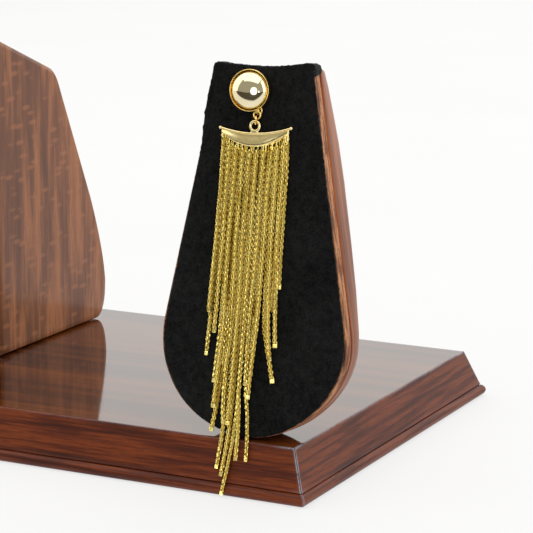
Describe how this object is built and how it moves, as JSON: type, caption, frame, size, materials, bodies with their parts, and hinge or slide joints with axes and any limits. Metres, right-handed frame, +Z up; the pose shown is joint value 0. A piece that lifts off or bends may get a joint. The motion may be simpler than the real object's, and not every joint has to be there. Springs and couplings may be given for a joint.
{
  "type": "dangle earring on a wooden display stand",
  "caption": "Domed stud with a crescent bar and a long fringe of fine chains, pinned on a velvet-faced paddle that stands on a bevelled wooden base.",
  "frame": {"origin": "centre of the stand's underside, on the surface that it rests on", "axes": "+Z up, -Y towards the viewer, so the velvet face of the paddle and the earring face -Y; +X to the right along the base's long side"},
  "size_m": [0.2305, 0.1454, 0.1279],
  "materials": {
    "base_wood": "dark striped veneer under a high-gloss lacquer, satin on the sloping edges",
    "board_wood": "orange-brown figured wood under gloss lacquer",
    "velvet": "black short-pile velvet",
    "pale_gold": "polished pale gold plate",
    "yellow_gold": "polished yellow gold plate"
  },
  "bodies": {
    "root": {"base_board": "base_wood", "base_plinth": "base_wood", "upright_block": "board_wood", "upright_velvet": "velvet", "paddle_board": "board_wood", "paddle_velvet": "velvet", "stud_plate": "yellow_gold", "stud_dome": "pale_gold", "jump_ring": "yellow_gold", "crescent_bar": "pale_gold", "chain_01": "yellow_gold", "chain_02": "yellow_gold", "chain_03": "yellow_gold", "chain_04": "yellow_gold", "chain_05": "yellow_gold", "chain_06": "yellow_gold", "chain_07": "yellow_gold", "chain_08": "yellow_gold", "chain_09": "yellow_gold", "chain_10": "yellow_gold", "chain_11": "yellow_gold", "chain_12": "yellow_gold", "chain_13": "yellow_gold", "chain_14": "yellow_gold", "chain_15": "yellow_gold", "chain_16": "yellow_gold", "chain_17": "yellow_gold", "chain_18": "yellow_gold", "chain_19": "yellow_gold", "chain_20": "yellow_gold"}
  },
  "joints": []
}
